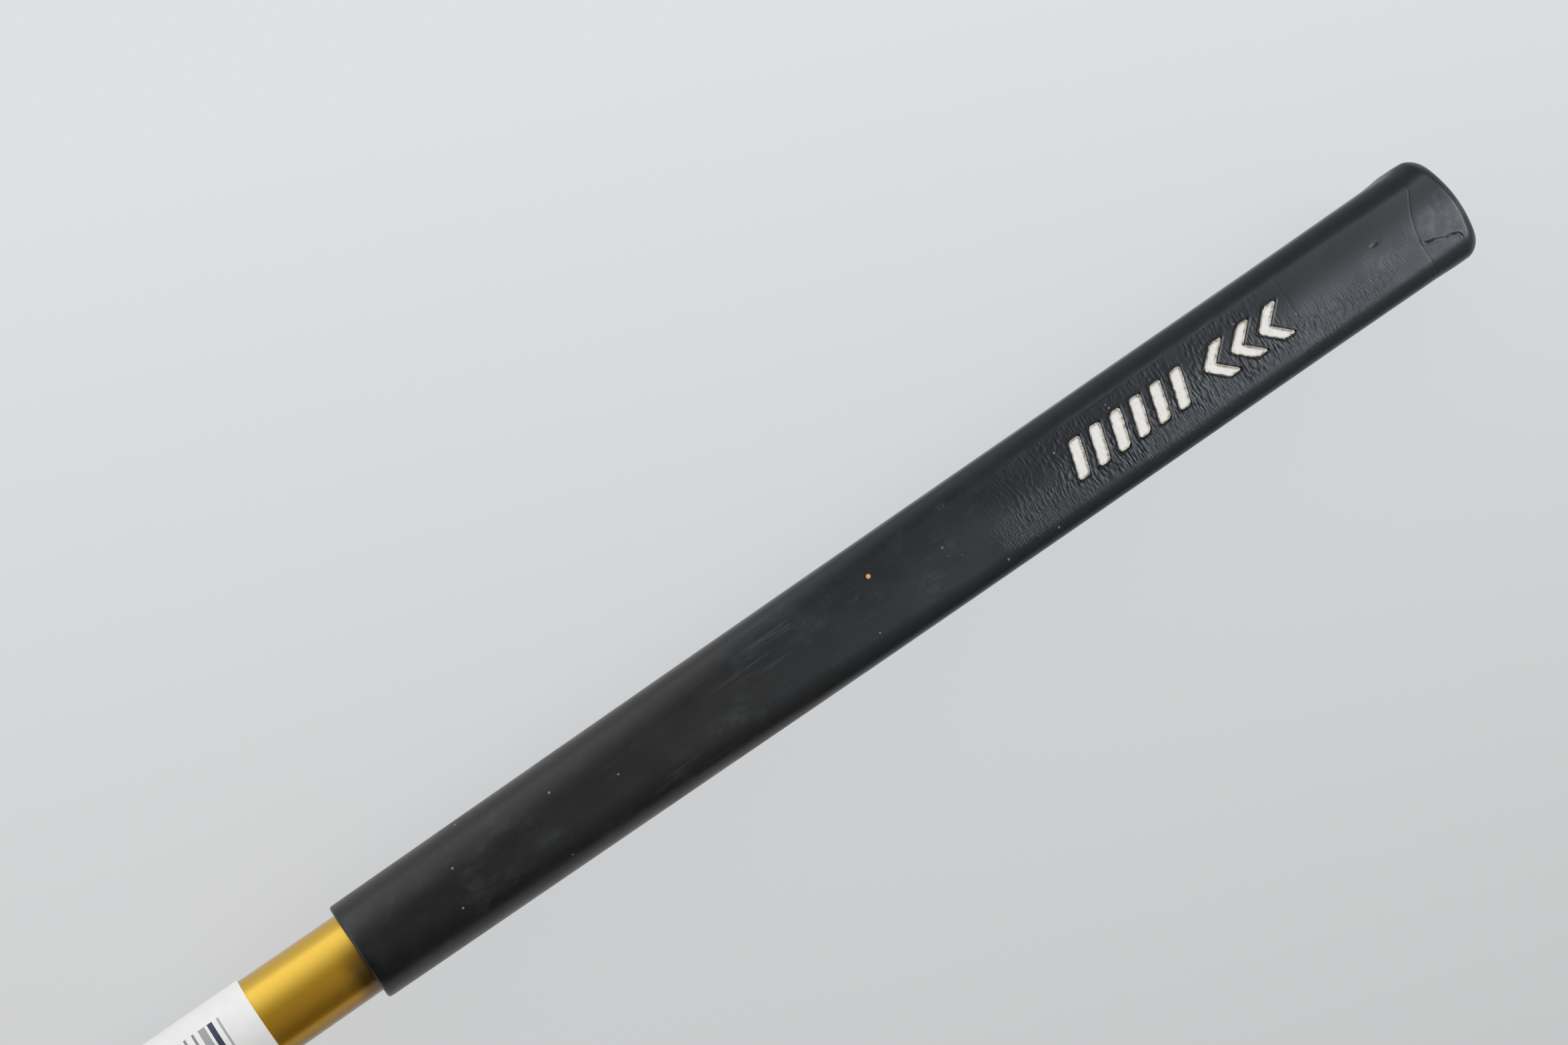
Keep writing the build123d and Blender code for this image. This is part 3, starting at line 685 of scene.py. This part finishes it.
def make_sleeve(rubber):
    """The grip's sleeve, with its rows closest over the marks, its rounded mouth and its bore."""
    stations = np.concatenate([
        CAP_LENGTH + NEAR_JOINT, np.arange(CAP_LENGTH + 1.5, 36, 0.6), np.arange(36, 46, 0.3),
        np.arange(46, 122, 0.15), np.arange(122, 130, 0.3), np.arange(130, GRIP_LENGTH - 1.0, 1.2),
    ])
    rim = [(GRIP_LENGTH - MOUTH_ROUND * (1 - sin(a)), MOUTH_R - MOUTH_ROUND * (1 - cos(a)))
           for a in np.linspace(0, pi / 2, 7)]
    bore = [(GRIP_LENGTH, BORE_R + 0.25), (GRIP_LENGTH - 0.25, BORE_R), (GRIP_LENGTH - 8, BORE_R),
            (CAP_LENGTH, BORE_R)]
    stations, aside, up = stacked(outer_rows(stations, *form_at(stations)), ring_rows(rim + bore))
    points = finish_grip(stations, aside, up)
    faces = grid_faces(*stations.shape, closed_rows=True, closed_columns=True)
    return add_piece("grip_skin", points, faces, "stick", "grip_rubber", rubber, ["grip_sleeve"])


def dome_station(aside, up):
    """Where the domed end of the cap lies, for a place across the stick."""
    return DOME_RADIUS - np.sqrt(DOME_RADIUS**2 - (aside - DOME_ASIDE) ** 2 - (up + DOME_DROP) ** 2)


def make_cap(rubber):
    """The cap: flared sides, a rounded edge, a shallow dome with a vent, and its hollow."""
    stations = CAP_LENGTH - np.concatenate([NEAR_JOINT, np.arange(1.2, CAP_SIDE_LENGTH, 0.2)])
    widths, flats, backs = form_at(np.full_like(stations, CAP_LENGTH))
    flared = step(CAP_LENGTH - stations, -0.5, 1.3 * CAP_SIDE_LENGTH)
    widths = widths + (2 * MOUTH_R + CAP_FLARE + 2 * CAP_LEAN - widths) * flared
    outer = outer_rows(stations, widths, flats, backs)
    outer[1][:] += (CAP_LEAN * flared)[:, None]
    # round the end's edge, then over the dome to the vent
    aside, up = outer[1][-1], outer[2][-1]
    reach = np.hypot(aside, up)
    sideways = (np.abs(aside) / np.abs(aside).max()) ** 2
    edge = CAP_ROUND_TOP + (CAP_ROUND_SIDE - CAP_ROUND_TOP) * sideways
    side_end, round_start = outer[0][-1], dome_station(aside, up) + edge
    over = [(side_end + (round_start - side_end) * share, aside, up)
            for share in np.linspace(0, 1, 26)[1:-1]]
    for a in np.linspace(0, pi / 2, 12):
        shrink = 1 - edge * (1 - cos(a)) / reach
        station = dome_station(aside * shrink, up * shrink) + edge * (1 - sin(a))
        over.append((station, aside * shrink, up * shrink))
    for share in (0.72, 0.5, 0.3):
        over.append((dome_station(aside * share, up * share), aside * share, up * share))
    vent = ring_rows([(0, VENT_R + 0.2)])
    over.append((dome_station(vent[1], vent[2])[0], vent[1][0], vent[2][0]))
    inner = ring_rows([(0.5, VENT_R), (CAP_END_WALL, VENT_R), (CAP_END_WALL, BORE_R),
                       (CAP_LENGTH, BORE_R)])
    stations, aside, up = stacked(outer, [np.array(rows) for rows in zip(*over)], inner)
    points = finish_grip(stations, aside, up)
    faces = grid_faces(*stations.shape, closed_rows=True, closed_columns=True)
    return add_piece("cap_skin", points, faces, "stick", "cap_rubber", rubber, ["grip_cap"])


def rounded_outline(outline, radius, spacing=0.16):
    """The outline with its corners rounded, as closely spaced points."""
    corner_points = [Vector(p) for p in outline]
    rounded = []
    for n, corner in enumerate(corner_points):
        back = corner_points[n - 1] - corner
        ahead = corner_points[(n + 1) % len(corner_points)] - corner
        reach = min(radius, back.length * 0.4, ahead.length * 0.4)
        start, end = corner + back.normalized() * reach, corner + ahead.normalized() * reach
        rounded += [start.lerp(corner, t).lerp(corner.lerp(end, t), t) for t in np.linspace(0, 1, 6)]
    dense = []
    for a, b in zip(rounded, rounded[1:] + rounded[:1]):
        count = max(1, round((b - a).length / spacing))
        dense += [a.lerp(b, n / count) for n in range(count)]
    return np.array(dense)


def inward_of(loop):
    """Unit directions that point into a closed loop of points, whichever way round it goes."""
    ahead = np.roll(loop, -1, 0)
    along = ahead - np.roll(loop, 1, 0)
    along /= np.linalg.norm(along, axis=1, keepdims=True)
    area = (loop[:, 0] * ahead[:, 1] - ahead[:, 0] * loop[:, 1]).sum()
    return np.stack([-along[:, 1], along[:, 0]], 1) * np.sign(area)


# How far inside the mark's edge, height over the recess floor (the paint climbs its wall)
# and how worn (1 at the rim).
PAINT_EDGE = [
    (0.00, 0.0, 1.0), (-0.11, 0.42, 1.0), (0.02, 0.47, 0.95), (0.13, 0.40, 0.9),
    (0.26, 0.20, 0.85), (0.36, 0.14, 0.45), (0.50, 0.13, 0.1),
]
PAINT_CORNER = 0.9
PAINT_WOBBLE = 0.18
PAINT_LUMPS = 0.09


def make_paint(paint):
    """White paint in the recesses: uneven slabs with soft worn edges, one for each mark."""
    points, faces, worn = [], [], []
    for n, outline in enumerate(mark_outlines()):
        loop = rounded_outline(outline, PAINT_CORNER)
        count = len(loop)
        wobble = PAINT_WOBBLE * (value_noise(loop[:, 0] / 0.7, loop[:, 1] / 0.7, 31 + n) - 0.4)
        inward = inward_of(loop)
        start = len(points)
        for inset, height, wear in PAINT_EDGE:
            ring = loop + inward * (inset + wobble)[:, None]
            points += [(x, y, height) for x, y in ring]
            worn += [wear] * count
        faces += grid_faces(len(PAINT_EDGE), count, closed_columns=True, start=start)
        faces.append([start + i for i in range(count)])
        low, high = ring.min(0), ring.max(0)
        spots = [np.arange(low[axis], high[axis], 0.2) for axis in (0, 1)]
        along, across = np.meshgrid(*spots)
        inner = distance_inside(along, across, [tuple(p) for p in ring]) > 0.12
        filling = np.concatenate([ring, np.stack([along[inner], across[inner]], 1)])
        sheet = delaunay_2d_cdt([Vector(p) for p in filling], [], [list(range(count))], 1, 1e-6)
        start = len(points)
        for i, place in enumerate(sheet[0]):
            edge = i < count
            lump = value_noise(np.array(place.x / 0.8), np.array(place.y / 0.8), 50 + n) - 0.5
            points.append((place.x, place.y, PAINT_EDGE[-1][1] + (0 if edge else PAINT_LUMPS * float(lump))))
            worn.append(PAINT_EDGE[-1][2] if edge else 0.0)
        faces += [[start + i for i in face] for face in sheet[2]]
    stations, aside, height = np.array(points).T
    up = MOUTH_R - MARK_RECESS + height + flat_level(stations, aside)
    placed = np.stack([BUTT_X - stations, aside, AXIS_Z + up], -1)
    return add_piece("mark_paint", placed, faces, "stick", "mark_paint", paint, ["grip_marks"],
                     values={"worn": worn})


BUFFER_CLEARANCE = 0.4   # over the tube
BUFFER_ROUND = 0.9
BUFFER_CHAMFER = 0.3     # at the bore
BUFFER_LAND = 2.6        # from an end to where the waist starts
BUFFER_WAIST = 1.7


def make_buffer(red_rubber):
    """The strike buffer: a waisted rubber ring that flattens when the strike ring is hit."""
    start, end = (BUTT_X - corners("strike_buffer")[n].x for n in (1, 0))
    radius = corners("strike_buffer")[1].y
    bore = TUBE_R + BUFFER_CLEARANCE
    rounding = [(BUFFER_ROUND * (1 - sin(a)), radius - BUFFER_ROUND * (1 - cos(a)))
                for a in np.linspace(0, pi / 2, 6)]
    waist_length = end - start - 2 * BUFFER_LAND
    profile = [(start, bore + BUFFER_CHAMFER)]
    profile += [(start + inset, height) for inset, height in reversed(rounding)]
    profile += [(start + BUFFER_LAND + t * waist_length, radius - BUFFER_WAIST * sin(pi * t) ** 1.5)
                for t in np.linspace(0, 1, 25)]
    profile += [(end - inset, height) for inset, height in rounding]
    profile += [(end, bore + BUFFER_CHAMFER), (end - BUFFER_CHAMFER, bore), (start + BUFFER_CHAMFER, bore)]
    piece = add_piece("buffer_skin", *lathe(profile), "stick", "buffer_rubber", red_rubber, ["strike_buffer"])
    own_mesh(piece)


# ---------------------------------------------------------------- stage and light
FLOOR_ALBEDO = (0.08, 0.08, 0.08)
FLOOR_TINT = (0.978, 0.987, 1.0, 1)
FLOOR_GLOW = 0.548       # the pale paper mostly glows, so shadows stay faint
FLOOR_GLOW_X, FLOOR_GLOW_Y = 0.000235, 0.00071   # more of it for each mm along and sideways
FLOOR_GLOW_LEAST, FLOOR_GLOW_MOST = 0.42, 0.68
FLOOR_FAR, FLOOR_NEAR = -1200, -160              # it fades from near to far, towards -Y
FLOOR_FAR_SHARE = 0.8
FLOOR_SIZE = 12          # in metres
ROOM_TONE = 0.05
# Soft lights of the room: direction, degrees from it where full and where gone, strength.
LIGHTS = [
    ((-0.60, 0.80, -0.05), 4, 94, 1.55),
    ((0.64, -0.15, 0.76), 7, 15, 8.2),
    ((0.83, -0.20, 0.52), 14, 71, 0.58),
]


def make_stage():
    """A plain pale floor that glows a little more towards one side."""
    f = Finish("floor_paper", FLOOR_ALBEDO, 0.9)
    parts = f.node("SeparateXYZ", {0: f.place()})
    sideways = parts.outputs[1]
    slope = f.math("ADD", f.times(parts.outputs[0], FLOOR_GLOW_X), f.times(sideways, FLOOR_GLOW_Y))
    glow = f.math("MAXIMUM", f.math("ADD", slope, FLOOR_GLOW), FLOOR_GLOW_LEAST)
    glow = f.math("MINIMUM", glow, FLOOR_GLOW_MOST)
    f.set("Emission Color", FLOOR_TINT)
    f.set("Emission Strength", f.times(glow, f.ramp(sideways, FLOOR_FAR, FLOOR_NEAR, FLOOR_FAR_SHARE, 1.0)))
    f.bump(f.noise(120, detail=2), 0.4)
    bpy.ops.mesh.primitive_plane_add(size=FLOOR_SIZE)
    floor = bpy.context.object
    floor.name = "floor"
    floor.data.materials.append(f.material)


def make_light():
    """A soft studio room: a broad bright side at +Y and a smaller soft light overhead."""
    world = bpy.data.worlds.new("room")
    world.use_nodes = True
    bpy.context.scene.world = world
    nodes, links = world.node_tree.nodes, world.node_tree.links
    background = nodes["Background"]
    background.inputs["Color"].default_value = (1, 1, 1, 1)
    direction = nodes.new("ShaderNodeTexCoord").outputs["Generated"]
    total = None
    for towards, full, gone, strength in LIGHTS:
        facing = nodes.new("ShaderNodeVectorMath")
        facing.operation = "DOT_PRODUCT"
        facing.inputs[1].default_value = Vector(towards).normalized()
        links.new(direction, facing.inputs[0])
        lobe = nodes.new("ShaderNodeMapRange")
        lobe.interpolation_type = "SMOOTHSTEP"
        limits = (cos(radians(gone)), cos(radians(full)), 0, strength)
        for socket, value in zip(lobe.inputs[1:5], limits):
            socket.default_value = value
        links.new(facing.outputs["Value"], lobe.inputs[0])
        add = nodes.new("ShaderNodeMath")
        add.inputs[1].default_value = ROOM_TONE
        links.new(lobe.outputs[0], add.inputs[0])
        if total is not None:
            links.new(total, add.inputs[1])
        total = add.outputs[0]
    links.new(total, background.inputs["Strength"])


# ---------------------------------------------------------------- everything put together
def dress(material, *names):
    """Gives CAD nodes that are kept as they are a material."""
    for name in names:
        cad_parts[name].data.materials.clear()
        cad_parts[name].data.materials.append(material)


rubber = grip_rubber()
make_sleeve(rubber)
make_cap(rubber)
make_paint(mark_paint())
dress(gold_tube(), "main_tube")
dress(label_paper(), "price_label")
dress(plain_finish("grip_tape", (0.62, 0.58, 0.46), 0.8, grain=0.6, depth=0.03), "grip_tape")
dress(plain_finish("plug_plastic", (0.06, 0.06, 0.06), 0.5), "butt_plug")
dress(turned_metal("collar_black", (0.045, 0.045, 0.05), 0.32), "tempo_collar", "end_block")
dress(turned_metal("magnet_nickel", (0.62, 0.60, 0.57), 0.18), "collar_magnets")
dress(plain_finish("pad_nylon", (0.72, 0.69, 0.62), 0.5), "pressure_pad")
dress(turned_metal("stud_steel", (0.50, 0.50, 0.51), 0.30), "thumb_stud")
dress(plain_finish("knob_plastic", (0.022, 0.022, 0.024), 0.48, grain=0.25, depth=0.02), "thumb_knob")
dress(turned_metal("hammer_steel", (0.56, 0.56, 0.57), 0.28), "hammer_body")
dress(turned_metal("keeper_steel", (0.42, 0.42, 0.43), 0.30), "hammer_keeper", "buffer_washer")
dress(turned_metal("screw_black", (0.03, 0.03, 0.032), 0.36), "keeper_screws", "set_screws", "tip_screw")
dress(plain_finish("bush_bronze", (0.50, 0.28, 0.11), 0.42, metallic=1.0, grain=0.18, depth=0.02),
      "hammer_bush_upper", "hammer_bush_lower")
dress(turned_metal("hard_steel", (0.40, 0.40, 0.42), 0.22), "hammer_face_ring", "strike_ring")
dress(plain_finish("ring_rubber", (0.012, 0.012, 0.012), 0.45), "hammer_o_rings")
make_buffer(plain_finish("buffer_rubber", (0.46, 0.035, 0.015), 0.38, grain=0.8, depth=0.02,
                         Coat_Weight=0.2))
dress(turned_metal("weight_steel", (0.33, 0.33, 0.33), 0.4), "tip_weight")
dress(plain_finish("boot_rubber", (0.016, 0.016, 0.017), 0.55, grain=0.3, depth=0.015), "tip_boot")
make_stage()
make_light()
make_camera()
bpy.context.scene.view_settings.view_transform = "Standard"
